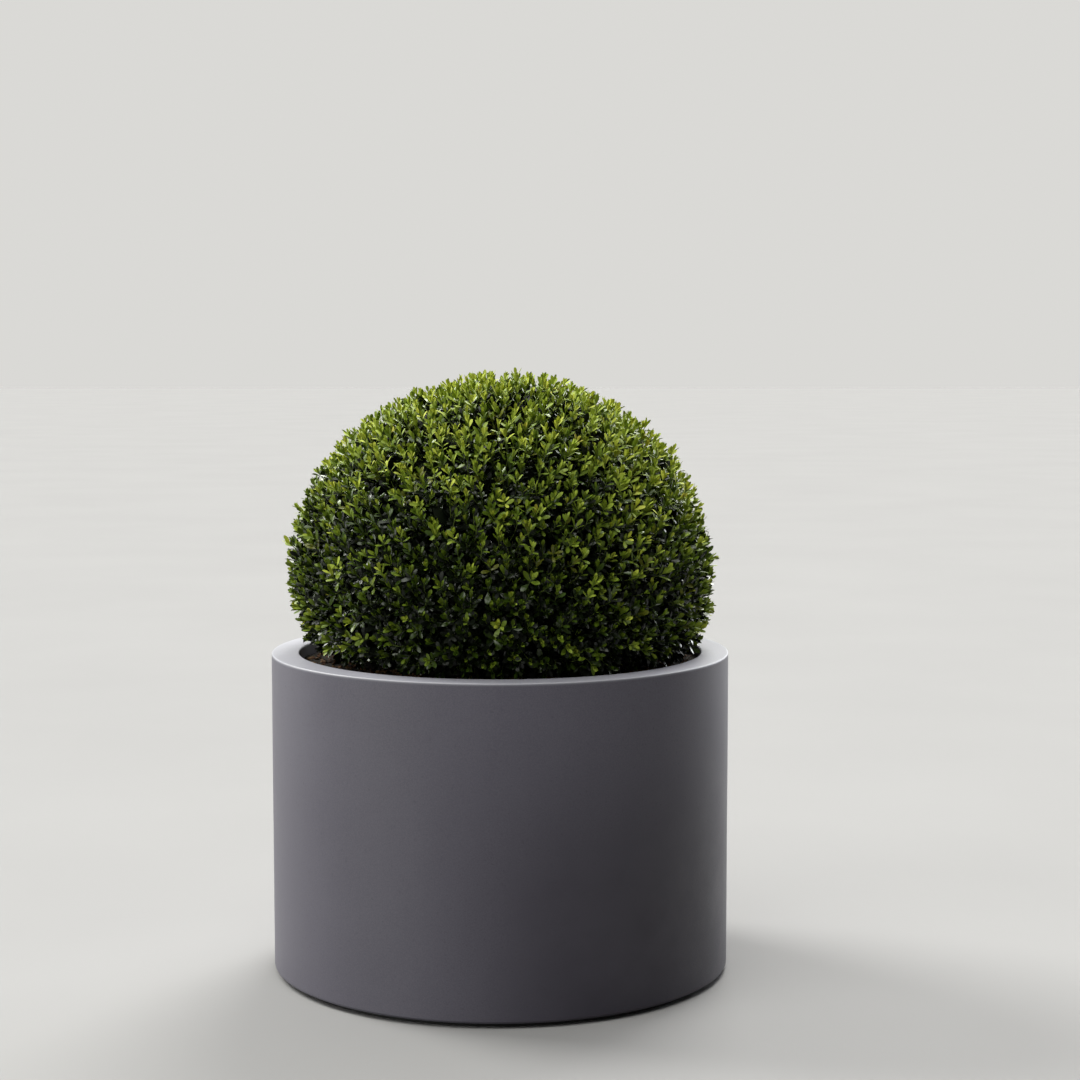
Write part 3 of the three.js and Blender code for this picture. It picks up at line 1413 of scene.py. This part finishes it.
@dataclass(frozen=True)
class Blade:
    """The shape of a leaf of unit length: rows across it, from its foot to its tip.

    Each row is how far along it lies, and half the leaf's width there, for a spoon-shaped leaf
    and for a rounder one, in shares of the widest.
    """

    rows: tuple[tuple[float, float, float], ...] = (
        (0.00, 0.00, 0.00),
        (0.26, 0.42, 0.66),
        (0.60, 1.00, 1.00),
        (0.88, 0.74, 0.66),
        (1.00, 0.00, 0.00),
    )

    def template(self) -> tuple[np.ndarray, np.ndarray, list[np.ndarray]]:
        """Models one blade as a grid drawn together at both ends.

        Returns:
            Each vertex's side (-1, 0 or 1), its row's number, and each face's vertex numbers.
        """
        bm = bmesh.new()
        last = len(self.rows) - 1
        bmesh.ops.create_grid(bm, x_segments=2, y_segments=last, size=1)
        for row in (-1, 1):
            ends = [vert for vert in bm.verts if abs(vert.co.y - row) < 0.01]
            bmesh.ops.pointmerge(bm, verts=ends, merge_co=(0, row, 0))
        bm.verts.index_update()
        side = np.array([vert.co.x for vert in bm.verts]).round()
        row = ((np.array([vert.co.y for vert in bm.verts]) + 1) / 2 * last).round().astype(int)
        corners = [np.array([vert.index for vert in face.verts]) for face in bm.faces]
        bm.free()
        return side, row, corners


@dataclass
class Leaves:
    """The leaves of the ball, as arrays with one row for each leaf."""

    foot: np.ndarray
    along: np.ndarray
    normal: np.ndarray
    length: np.ndarray
    width: np.ndarray
    roundness: np.ndarray
    fold: np.ndarray
    arch: np.ndarray
    shade: np.ndarray

    def only(self, keep: np.ndarray) -> "Leaves":
        """The leaves picked by a mask or by numbers."""
        return Leaves(**{name: values[keep] for name, values in vars(self).items()})

    @staticmethod
    def joined(parts: Sequence["Leaves"]) -> "Leaves":
        """Joins several arrays of leaves into one."""
        names = vars(parts[0])
        return Leaves(**{n: np.concatenate([vars(part)[n] for part in parts]) for n in names})

    def __len__(self) -> int:
        """How many leaves there are."""
        return len(self.length)


@dataclass(frozen=True)
class Vigour:
    """What makes a shoot vigorous, so that more of its leaf pairs are young and bright.

    Each value is what its cause adds. Scatter is the spread of a random part, and deep is what
    each metre under the outline takes away. High_zone is the height of the shoot's direction
    where high_up starts and where it is full, and patch_fineness is how finely patches change.
    """

    least: float = 0.1
    high_up: float = 0.85
    high_zone: tuple[float, float] = (-0.15, 0.95)
    patch: float = 0.36
    patch_fineness: float = 4.0
    proud: float = 0.26
    scatter: float = 0.2
    deep: float = 12.0
    # Painted light on the right side: more young, bright pairs there.
    right_side_light: float = 0.16

    def of(self, draw: np.random.Generator, shoots: Limbs, right_side_light: np.ndarray) -> np.ndarray:
        """Works out how vigorous each shoot is.

        Args:
            draw: The source of random numbers.
            shoots: The shoots.
            right_side_light: How far right each one points, where leaves are painted lighter.

        Returns:
            A number for each shoot, mostly from 0 to 1.
        """
        count = shoots.order.count
        rise = smooth_step(shoots.ways[:, 2], *self.high_zone)
        fineness = self.patch_fineness
        patch = np.array([noise.noise(Vector(way) * fineness) for way in shoots.ways])
        value = self.least + self.high_up * rise + self.patch * patch + self.proud * shoots.proud
        value = value + draw.normal(0, self.scatter, count) - self.deep * shoots.order.depth
        return value + self.right_side_light * right_side_light


@dataclass(frozen=True)
class LeafShadow:
    """What makes a leaf take a dark shade, as painted shade in the crown.

    Each value is what its cause adds to the chance, but right_side_light is what the painted light
    on the right side takes away.
    Down_the_shoot starts at the first number of old_pairs and is full at the second. Low_down is
    full up to the first height of light_zone, and ends at the second.
    """

    least: float = 0.28
    down_the_shoot: float = 0.45
    old_pairs: tuple[float, float] = (2.0, 6.0)
    filler: float = 0.35
    # Painted light on the right side: fewer dark leaves there.
    right_side_light: float = 0.22
    low_down: float = 0.45
    light_zone: tuple[float, float] = (-0.1, 0.75)
    near_soil: float = 0.4

    def of(
        self,
        nth: np.ndarray,
        filler: bool,
        rise: np.ndarray,
        right_side_light: np.ndarray,
        near_soil: np.ndarray,
    ) -> np.ndarray:
        """Works out how likely each leaf is dark.

        Args:
            nth: The number of its pair, from the tip.
            filler: Whether its shoot is one of the fillers.
            rise: How steeply its shoot stands up from the ball's heart.
            right_side_light: How far right its shoot points, where fewer leaves are painted dark.
            near_soil: How near its shoot is to the soil.

        Returns:
            The chance for each leaf.
        """
        chance = self.least + self.down_the_shoot * smooth_step(nth, *self.old_pairs)
        chance = chance + (self.filler if filler else 0)
        chance = chance - self.right_side_light * right_side_light[:, None, None]
        low = self.low_down * (1 - smooth_step(rise, *self.light_zone))
        return chance + (low + self.near_soil * near_soil)[:, None, None]


@dataclass(frozen=True)
class Scatter:
    """How unevenly leaves grow: the spread of each random measure round its usual value.

    Gaps, first_side, opening and spray_size vary from spray to spray, and the others from leaf
    to leaf. Gaps, opening, both sizes and width are shares of the usual value. The others are
    added to theirs, and turn is in radians.
    """

    gaps: float = 0.11
    turn: float = 0.2
    first_side: float = 0.3
    opening: float = 0.16
    facing: float = 0.16
    spray_size: float = 0.11
    leaf_size: float = 0.09
    width: float = 0.07
    roundness: float = 0.25
    fold: float = 0.12
    arch: float = 0.07


@dataclass
class Foliage(SubAssembly):
    """The leaves, in opposite pairs along every shoot, each pair at right angles to the next.

    Pairs are counted from the tip. Spreads are the angles at which they stand off, in degrees,
    and scatter_by_age is how much those vary. Pull is how far a leaf's face turns to the sky, and
    pull_range is a random factor on it. Sky is how much the sky's direction is outward, and how
    much straight up.

    Of two values by age, the first is for the youngest pair and the second is what the oldest
    adds. Width_by_height and young_by_vigour say the same by height on the ball and by vigour. A
    zone, or clear_of_soil, is the height of the shoot's direction, or how far right it points,
    where its effect starts and where it is full. Mood is how much the spray counts, and how much
    the single leaf, in the draw that gives leaves the dark shades of painted shade.
    """

    blade: Blade = field(default_factory=Blade)
    uneven: Scatter = field(default_factory=Scatter)
    vigour: Vigour = field(default_factory=Vigour)
    leaf_shadow: LeafShadow = field(default_factory=LeafShadow)
    leaf_length: float = 9.1 * MM
    leaf_width: float = 0.365
    behind: float = 12 * MM
    bare_foot: float = 0.08
    gap_limits: tuple[float, float] = (0.75, 1.3)
    scatter_by_age: tuple[float, float] = (4, 9)
    spread_limits: tuple[float, float] = (4, 88)
    sky: tuple[float, float] = (0.55, 0.65)
    pull_by_age: tuple[float, float] = (0.12, 0.5)
    pull_range: tuple[float, float] = (0.3, 1.3)
    width_by_age: tuple[float, float] = (0.9, 0.16)
    width_by_height: tuple[float, float] = (1.28, -0.25)
    height_zone: tuple[float, float] = (-0.35, 0.6)
    fold_by_age: tuple[float, float] = (0.42, -0.85)
    arch_by_age: tuple[float, float] = (0.08, -0.38)
    right_side_zone: tuple[float, float] = (0.0, 0.8)
    clear_of_soil: tuple[float, float] = (-0.36, -0.18)
    young_by_vigour: tuple[float, float] = (-0.6, 4.2)
    most_young: int = 4
    mood: tuple[float, float] = (0.8, 0.2)
    pair_places_mm: tuple[float, ...] = (0.3, 1.4, 3.7, 6.9, 10.9, 15.4, 20.4, 26.0, 32.0)
    pair_sizes: tuple[float, ...] = (0.55, 0.85, 1.0, 1.06, 1.04, 1.0, 0.98, 0.95, 0.92)
    pair_spreads: tuple[float, ...] = (11, 20, 32, 42, 50, 55, 59, 62, 65)

    def build(self, shoots: Sequence[Limbs], planter: "Clearance") -> None:
        """Grows all leaves and models them, shade by shade.

        Args:
            shoots: The kinds of shoots that they grow on.
            planter: The room that they keep to.
        """
        self.draw = np.random.default_rng(SEED + 7)
        leaves = Leaves.joined([self.grow(kind) for kind in shoots])
        tips = leaves.foot + leaves.along * leaves.length[:, None]
        leaves = leaves.only(planter.clear(leaves.foot) & planter.clear(tips))
        LOG.info("leaves: %d on %d shoots", len(leaves), sum(kind.order.count for kind in shoots))
        for place, shade in enumerate(SHADES):
            mine = leaves.only(leaves.shade == place)
            self.model(shade, mine)

    def grow(self, shoots: Limbs) -> Leaves:
        """Sets the leaves on the shoots.

        Args:
            shoots: The shoots.

        Returns:
            All leaves, as arrays.
        """
        order = shoots.order
        pairs = order.leaf_pairs
        shape = (order.count, pairs, 2)
        stretch = self.draw.normal(1.0, self.uneven.gaps, (order.count, 1)).clip(*self.gap_limits)
        from_tip = np.array(self.pair_places_mm[:pairs]) * MM * stretch
        part = 1 - from_tip / shoots.lengths()[:, None]
        on_wood = np.repeat((part > self.bare_foot)[..., None], 2, axis=2)
        part = part.clip(0, 1)
        foot = np.repeat(shoots.at(part)[:, :, None], 2, axis=2)
        axis = np.repeat(shoots.heading(part)[:, :, None], 2, axis=2)
        ways = np.broadcast_to(shoots.ways[:, None, None], foot.shape)
        age = (np.arange(pairs) / (len(self.pair_places_mm) - 1))[None, :, None]
        along, normal = self._stances(axis, ways, age)
        forms = self._forms(order, ways, age)
        # Hidden shoots take only the darkest shade, as painted shade.
        if order.hidden:
            shade = np.full(shape, PLACE_OF[Shade.INNER])
        else:
            shade = self.deal(shoots, shape)
        arrays = [array.reshape(-1, 3) for array in (foot, along, normal)]
        arrays += [np.broadcast_to(array, shape).ravel() for array in (*forms, shade)]
        return Leaves(*arrays).only(on_wood.ravel())

    def _stances(
        self, axis: np.ndarray, ways: np.ndarray, age: np.ndarray
    ) -> tuple[np.ndarray, np.ndarray]:
        """Stands each leaf off from its shoot and turns its face towards the sky.

        Args:
            axis: The shoot's direction at each leaf.
            ways: The shoot's direction from the ball's heart.
            age: Each pair's age, from 0 to 1.

        Returns:
            Each leaf's direction, and the normal of its upper face.
        """
        draw, uneven = self.draw, self.uneven
        shape = axis.shape[:3]
        count, pairs, _ = shape
        start = draw.uniform(0, math.tau, (count, 1, 1))
        quarter = np.arange(pairs)[None, :, None] * math.pi / 2
        half = np.arange(2)[None, None] * math.pi
        angle = start + quarter + half + draw.normal(0, uneven.turn, shape)
        tipped = UP + uneven.first_side * draw.normal(0, 1, (count, 1, 1, 3))
        side = unit(np.cross(axis, tipped))
        other = np.cross(axis, side)
        away = side * np.cos(angle)[..., None] + other * np.sin(angle)[..., None]
        open_by = np.array(self.pair_spreads[:pairs])[None, :, None]
        open_by = open_by + draw.normal(0, ramp(self.scatter_by_age, age), shape)
        open_by = open_by * draw.normal(1, uneven.opening, (count, 1, 1))
        lean = np.radians(open_by.clip(*self.spread_limits))[..., None]
        along = unit(axis * np.cos(lean) + away * np.sin(lean))
        normal = axis * np.sin(lean) - away * np.cos(lean)
        sky = unit(ways * self.sky[0] + UP * self.sky[1])
        pull = ramp(self.pull_by_age, age)[..., None]
        pull = pull * draw.uniform(*self.pull_range, shape)[..., None]
        normal = normal + pull * (sky - along * (sky * along).sum(-1, keepdims=True))
        normal = unit(normal + draw.normal(0, uneven.facing, axis.shape))
        return along, unit(normal - along * (normal * along).sum(-1, keepdims=True))

    def _forms(self, order: Order, ways: np.ndarray, age: np.ndarray) -> tuple[np.ndarray, ...]:
        """Sizes and shapes each leaf.

        Args:
            order: The order of the shoots.
            ways: The shoot's direction from the ball's heart, at each leaf.
            age: Each pair's age, from 0 to 1.

        Returns:
            The leaves' lengths, widths, roundness, folds and arches.
        """
        draw, uneven = self.draw, self.uneven
        count, pairs = order.count, order.leaf_pairs
        shape = (count, pairs, 2)
        high = smooth_step(ways[..., 2], *self.height_zone)
        size = self.leaf_length * order.leaf_scale
        size = size * np.array(self.pair_sizes[:pairs])[None, :, None]
        size = size * draw.normal(1, uneven.spray_size, (count, 1, 1))
        size = size * draw.normal(1, uneven.leaf_size, shape)
        wide = self.leaf_width * ramp(self.width_by_height, high) * ramp(self.width_by_age, age)
        wide = wide * draw.normal(1, uneven.width, shape)
        rounded = (1.0 - high + draw.normal(0, uneven.roundness, shape)).clip(0, 1)
        fold = ramp(self.fold_by_age, age) + draw.normal(0, uneven.fold, shape)
        arch = ramp(self.arch_by_age, age) + draw.normal(0, uneven.arch, shape)
        return size, size * wide, rounded, fold, arch

    def deal(self, shoots: Limbs, shape: tuple[int, int, int]) -> np.ndarray:
        """Deals shades by spray: young pairs at the tips, older ones behind, dark ones as painted
        shade.

        Args:
            shoots: The shoots, one spray each.
            shape: Shoots, pairs and leaves in a pair.

        Returns:
            Each leaf's shade, as its place in SHADES.
        """
        draw = self.draw
        count, pairs, _ = shape
        rise = shoots.ways[:, 2]
        # Painted light on the right side: there, more tips are young and fewer leaves dark.
        right_side_light = smooth_step(shoots.ways[:, 0], *self.right_side_zone)
        near_soil = 1 - smooth_step(rise, *self.clear_of_soil)
        vigour = self.vigour.of(draw, shoots, right_side_light)
        # Painted shade near the soil: no young, bright tips there.
        young = np.round(ramp(self.young_by_vigour, vigour) * (1 - near_soil))
        young = young.clip(0, self.most_young)[:, None, None]
        tint = draw_shades(draw, TIP_SHARES, (count,))[:, None, None]
        old = draw_shades(draw, OLD_SHARES, (count, 1, 1))
        # The dark shades are painted shade; the chance below says where they fall.
        dark = draw_shades(draw, SHADOW_SHARES, (count, pairs, 1))
        nth = np.broadcast_to(np.arange(pairs)[None, :, None], shape)
        filler = shoots.order.depth > self.behind
        chance = self.leaf_shadow.of(nth, filler, rise, right_side_light, near_soil)
        mood = self.mood[0] * draw.random((count, 1, 1)) + self.mood[1] * draw.random(shape)
        shade = np.where(mood < chance, dark, old)
        for further, turned in ((2, Shade.SPRING), (1, Shade.FRESH)):
            turning = (nth < young + further) & (young > 0)
            shade = np.where(turning, PLACE_OF[turned], shade)
        shade = np.where(nth < young, tint, shade)
        resting = (young == 0) & (nth < 2) & (near_soil < 0.5)[:, None, None]
        return np.where(resting, PLACE_OF[Shade.SPRING], shade)

    def model(self, shade: Shade, leaves: Leaves) -> None:
        """Models the leaves of one shade, in as many pieces as their triangles need.

        Args:
            shade: The shade.
            leaves: All the leaves that have it.
        """
        side, row, corners = self.blade.template()
        rows = np.array(self.blade.rows)
        per_leaf = sum(len(face) - 2 for face in corners)
        most = MOST_TRIANGLES // per_leaf
        parts = max(1, math.ceil(len(leaves) / most))
        material = shade.finish.material()
        for part in range(parts):
            some = leaves.only(slice(part, None, parts))
            spoon, round_one = rows[row, 1], rows[row, 2]
            half = spoon + (round_one - spoon) * some.roundness[:, None]
            x = side * half * some.width[:, None] / 2
            along = rows[row, 0]
            y = along * some.length[:, None]
            z = np.abs(x) * some.fold[:, None] + (along**2 * some.arch[:, None]) * y
            points = turn(
                np.stack([x, y, z], -1),
                np.cross(some.along, some.normal),
                some.along,
                some.normal,
            )
            name = f"{shade.finish.name}_{part + 1}"
            piece = array_piece(name, points + some.foot[:, None], corners)
            self.enrol(piece, Slot.LEAVES, material, "clipped_ball")


@dataclass
class Clearance:
    """The room that the planter and the soil leave for the leaves."""

    to_wall: float = 1.2 * MM
    over_rim: float = 0.8 * MM
    over_soil: float = 0.5 * MM
    mound: float = Soil.mound
    wall: float = Planter.wall

    def clear(self, points: np.ndarray) -> np.ndarray:
        """Tells which points are clear of the planter's wall, its rim and the soil.

        Args:
            points: The points, as (points, 3).

        Returns:
            A mask that is true for those.
        """
        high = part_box("planter")[1]
        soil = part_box("soil")[1].z - self.mound
        across = np.hypot(points[:, 0], points[:, 1])
        in_wall = (across > high.x - self.wall - self.to_wall) & (
            points[:, 2] < high.z + self.over_rim
        )
        return ~in_wall & (points[:, 2] > soil + self.over_soil)


@dataclass(frozen=True)
class SoftLight:
    """Light from a wide, far, soft source.

    Its bearing from the front, its height over the floor and its width are in degrees.
    """

    name: str
    bearing: float
    height: float
    power: float
    width: float = 50.0
    tint: tuple[float, float, float] = (0.98, 1.0, 0.92)

    def hang(self) -> None:
        """Hangs the light."""
        a, e = math.radians(self.bearing), math.radians(self.height)
        away = Vector((math.sin(a) * math.cos(e), -math.cos(a) * math.cos(e), math.sin(e)))
        data = bpy.data.lights.new(self.name, "SUN")
        data.angle = math.radians(self.width)
        data.energy = self.power
        data.color = self.tint
        light = bpy.data.objects.new(self.name, data)
        light.rotation_euler = away.to_track_quat("Z", "Y").to_euler()
        bpy.context.scene.collection.objects.link(light)


@dataclass
class Studio:
    """The plain floor, the soft light and the camera at the photograph's angle."""

    lights: tuple[SoftLight, ...] = (
        SoftLight("sky_left", -122, 40, 3.0, 26),
        SoftLight("sky_right", 162, 48, 2.85, 26),
        SoftLight("sky_above", 180, 75, 0.95, 50),
        SoftLight("sky_front", -22, 65, 1.85, 50),
        SoftLight("low_left", -122, 12, 0.75, 30),
        SoftLight("low_right", 142, 12, 1.8, 32, (0.97, 1.0, 1.02)),
        SoftLight("low_behind", 180, 12, 0.55),
        SoftLight("low_front", -60, 12, 1.2, 36),
    )
    fill_tone: tuple[float, float, float, float] = (0.98, 1.0, 0.92, 1.0)
    fill: float = 0.11
    backdrop_tone: tuple[float, float, float, float] = (0.701, 0.695, 0.672, 1.0)
    floor_size: float = 60.0
    camera_offset: float = 39.2 * MM
    camera_distance: float = 2.172
    camera_height: float = 0.615
    pitch: float = 5.04
    focal: float = 73.7
    sensor: float = 36.0

    def build(self) -> None:
        """Builds the floor, the lights, the surroundings and the camera."""
        self.floor()
        for light in self.lights:
            light.hang()
        self.surroundings()
        self.camera()
        bpy.context.scene.view_settings.view_transform = "Standard"

    def floor(self) -> None:
        """Lays the floor under the planter's foot. It throws no soft light back on the object."""
        bm = bmesh.new()
        bmesh.ops.create_grid(bm, x_segments=8, y_segments=8, size=self.floor_size / 2)
        piece = mesh_piece("studio_floor", bm)
        piece.data.materials.append(StudioFloor().material())
        piece.visible_diffuse = False

    def surroundings(self) -> None:
        """Sets a dim even fill, in front of a plain pale backdrop."""
        world = bpy.data.worlds.new("studio")
        world.use_nodes = True
        tree = world.node_tree
        fill = tree.nodes["Background"]
        fill.inputs["Color"].default_value = self.fill_tone
        fill.inputs["Strength"].default_value = self.fill
        backdrop = tree.nodes.new("ShaderNodeBackground")
        backdrop.inputs["Color"].default_value = self.backdrop_tone
        seen = tree.nodes.new("ShaderNodeLightPath")
        mix = tree.nodes.new("ShaderNodeMixShader")
        tree.links.new(seen.outputs["Is Camera Ray"], mix.inputs[0])
        tree.links.new(fill.outputs[0], mix.inputs[1])
        tree.links.new(backdrop.outputs[0], mix.inputs[2])
        tree.links.new(mix.outputs[0], tree.nodes["World Output"].inputs["Surface"])
        bpy.context.scene.world = world

    def camera(self) -> None:
        """Places the camera as the photograph was taken."""
        data = bpy.data.cameras.new("photo_camera")
        data.sensor_width = self.sensor
        data.lens = self.focal
        camera = bpy.data.objects.new("photo_camera", data)
        camera.location = (self.camera_offset, -self.camera_distance, self.camera_height)
        camera.rotation_euler = (math.radians(90 - self.pitch), 0, 0)
        bpy.context.scene.collection.objects.link(camera)
        bpy.context.scene.camera = camera


def main() -> None:
    """Builds the planter, the soil, the wood, the leaves and the studio, in that order."""
    logging.basicConfig(level=logging.INFO, format="%(name)s %(message)s", stream=sys.stdout)
    Planter().build()
    Soil().build()
    shoots = Wood().build()
    Foliage().build(shoots, Clearance())
    Studio().build()
    LOG.info("built")


if __name__ == "__main__":
    main()
